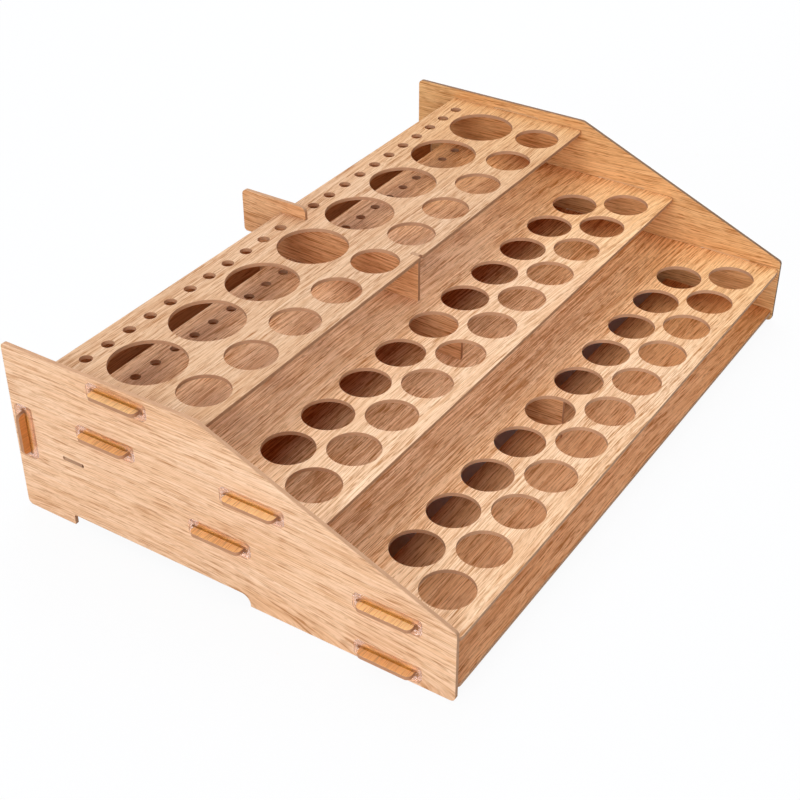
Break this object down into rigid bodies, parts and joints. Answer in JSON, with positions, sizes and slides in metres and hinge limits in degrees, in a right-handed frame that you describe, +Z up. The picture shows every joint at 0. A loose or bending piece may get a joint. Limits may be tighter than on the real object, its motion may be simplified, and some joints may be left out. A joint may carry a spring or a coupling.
{
  "type": "paint and brush organizer",
  "caption": "Stepped veneered-board rack with three pierced shelves for paint bottles, jars and brushes, slotted into two side panels through clear clips.",
  "frame": {"origin": "on the floor, under the middle of the bounding box", "axes": "+X along the rack to its right as seen from the front, +Y from front to rear, +Z up"},
  "size_m": [0.5576, 0.3684, 0.1431],
  "materials": {
    "veneer_panels": "clear matt",
    "veneer_shelves": "clear matt",
    "veneer_back": "clear matt",
    "clear_clips": "clear gloss"
  },
  "bodies": {
    "root": {"left_side_panel": "veneer_panels", "right_side_panel": "veneer_panels", "centre_divider": "veneer_panels", "top_shelf": "veneer_shelves", "middle_shelf": "veneer_shelves", "lower_shelf": "veneer_shelves", "base_board": "veneer_shelves", "back_panel": "veneer_back", "brush_rest_rail": "veneer_back", "left_base_clip": "clear_clips", "left_lower_front_clip": "clear_clips", "left_lower_rear_clip": "clear_clips", "left_middle_front_clip": "clear_clips", "left_middle_rear_clip": "clear_clips", "left_top_clip": "clear_clips", "left_back_clip": "clear_clips", "right_base_clip": "clear_clips", "right_lower_front_clip": "clear_clips", "right_lower_rear_clip": "clear_clips", "right_middle_front_clip": "clear_clips", "right_middle_rear_clip": "clear_clips", "right_top_clip": "clear_clips", "right_back_clip": "clear_clips"}
  },
  "joints": []
}
